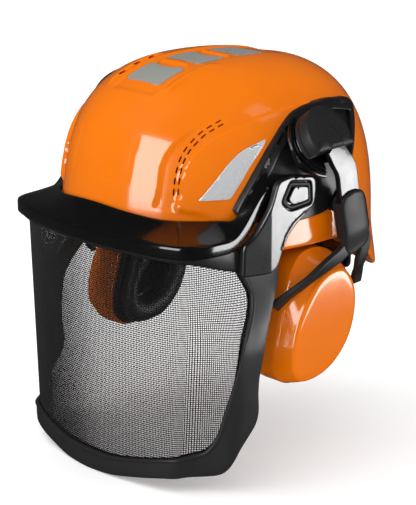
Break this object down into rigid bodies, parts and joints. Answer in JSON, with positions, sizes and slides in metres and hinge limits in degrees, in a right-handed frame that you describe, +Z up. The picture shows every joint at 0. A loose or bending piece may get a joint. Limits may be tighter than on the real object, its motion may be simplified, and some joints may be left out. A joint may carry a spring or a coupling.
{
  "type": "forestry helmet",
  "caption": "Child-size forestry helmet with vented orange shell, black peak, lifting mesh face visor, ear muffs on jointed arms and a ratchet headband.",
  "frame": {"origin": "middle of the footprint at the lowest point, the underside of the visor chin", "axes": "+Z up towards the crown, -Y the way the wearer faces, +X to the wearer's left"},
  "size_m": [0.2418, 0.2489, 0.2793],
  "materials": {
    "orange_abs": "glossy moulded plastic",
    "gloss_black": "glossy moulded plastic",
    "satin_black": "satin moulded plastic",
    "nylon_mesh": "woven nylon screen",
    "foil_grey": "grey reflective film",
    "foil_silver": "silver reflective film",
    "steel": "zinc-plated steel",
    "foam": "open-cell foam",
    "leatherette": "soft coated fabric over foam",
    "webbing": "woven webbing"
  },
  "bodies": {
    "shell": {"outer_shell": "orange_abs", "crown_patch_front": "foil_grey", "crown_patch_middle": "foil_grey", "crown_patch_rear": "foil_grey", "side_reflector_left": "foil_silver", "side_plate_left": "satin_black", "plate_screw_front_left": "steel", "plate_screw_rear_left": "steel", "muff_pivot_base_left": "satin_black", "muff_pivot_pin_left": "steel", "visor_hinge_pin_left": "steel", "strap_clip_front_left": "satin_black", "strap_clip_rear_left": "satin_black", "side_reflector_right": "foil_silver", "side_plate_right": "satin_black", "plate_screw_front_right": "steel", "plate_screw_rear_right": "steel", "muff_pivot_base_right": "satin_black", "muff_pivot_pin_right": "steel", "visor_hinge_pin_right": "steel", "strap_clip_front_right": "satin_black", "strap_clip_rear_right": "satin_black", "headband": "satin_black", "sweatband": "leatherette", "crown_strap_first": "webbing", "crown_strap_second": "webbing"},
    "visor": {"brim": "gloss_black", "visor_carrier": "satin_black", "visor_frame": "satin_black", "screen_retainer": "satin_black", "mesh_screen": "nylon_mesh", "visor_arm_left": "satin_black", "visor_pivot_cap_left": "satin_black", "visor_arm_right": "satin_black", "visor_pivot_cap_right": "satin_black"},
    "muff_swivel_left": {"muff_pivot_cap_left": "satin_black", "muff_flare_pin_left": "steel"},
    "muff_arm_left": {"muff_arm_left": "satin_black"},
    "muff_sleeve_left": {"muff_sleeve_left": "satin_black", "cup_pin_front_left": "steel", "cup_pin_rear_left": "steel"},
    "ear_muff_left": {"ear_cup_left": "orange_abs", "cup_back_plate_left": "satin_black", "ear_foam_left": "foam", "ear_cushion_left": "leatherette"},
    "muff_swivel_right": {"muff_pivot_cap_right": "satin_black", "muff_flare_pin_right": "steel"},
    "muff_arm_right": {"muff_arm_right": "satin_black"},
    "muff_sleeve_right": {"muff_sleeve_right": "satin_black", "cup_pin_front_right": "steel", "cup_pin_rear_right": "steel"},
    "ear_muff_right": {"ear_cup_right": "orange_abs", "cup_back_plate_right": "satin_black", "ear_foam_right": "foam", "ear_cushion_right": "leatherette"},
    "nape_slide": {"nape_housing": "satin_black", "nape_pad": "leatherette"},
    "knob": {"ratchet_knob": "satin_black"}
  },
  "joints": [
    {"name": "visor_lift", "type": "hinge", "parent": "shell", "child": "visor", "pos_m": [0, -0.0205, 0.2013], "axis": [-1, 0, 0], "range_deg": [0, 75]},
    {"name": "muff_swing_left", "type": "hinge", "parent": "shell", "child": "muff_swivel_left", "pos_m": [0.0976, 0.0019, 0.2288], "axis": [0.8276, 0.1197, 0.5484], "range_deg": [0, 6]},
    {"name": "muff_flare_left", "type": "hinge", "parent": "muff_swivel_left", "child": "muff_arm_left", "pos_m": [0.11354, 0.0042, 0.23123], "axis": [0.1431, -0.9897, 0], "range_deg": [0, 18]},
    {"name": "sleeve_height_left", "type": "slide", "parent": "muff_arm_left", "child": "muff_sleeve_left", "axis": [0, 0.2124, -0.9772], "range_m": [0, 0.012]},
    {"name": "cup_tilt_left", "type": "hinge", "parent": "muff_sleeve_left", "child": "ear_muff_left", "pos_m": [0.10025, 0.0045, 0.1273], "axis": [0.0366, 0.9955, 0.0878], "range_deg": [-8, 2]},
    {"name": "muff_swing_right", "type": "hinge", "parent": "shell", "child": "muff_swivel_right", "pos_m": [-0.0976, 0.0019, 0.2288], "axis": [0.8276, -0.1197, -0.5484], "range_deg": [0, 6]},
    {"name": "muff_flare_right", "type": "hinge", "parent": "muff_swivel_right", "child": "muff_arm_right", "pos_m": [-0.11354, 0.0042, 0.23123], "axis": [0.1431, 0.9897, 0], "range_deg": [0, 18]},
    {"name": "sleeve_height_right", "type": "slide", "parent": "muff_arm_right", "child": "muff_sleeve_right", "axis": [0, 0.2124, -0.9772], "range_m": [0, 0.012]},
    {"name": "cup_tilt_right", "type": "hinge", "parent": "muff_sleeve_right", "child": "ear_muff_right", "pos_m": [-0.10025, 0.0045, 0.1273], "axis": [0.0366, -0.9955, -0.0878], "range_deg": [-8, 2]},
    {"name": "knob_turn", "type": "hinge", "parent": "nape_slide", "child": "knob", "pos_m": [0, 0.108, 0.1173], "axis": [0, 1, 0], "range_deg": [0, 90]},
    {"name": "nape_fit", "type": "slide", "parent": "shell", "child": "nape_slide", "axis": [0, -1, 0], "range_m": [0, 0.00451]}
  ],
  "couplings": [
    {"joint": "nape_fit", "follows": "knob_turn", "m_per_rad": 0.00286}
  ]
}
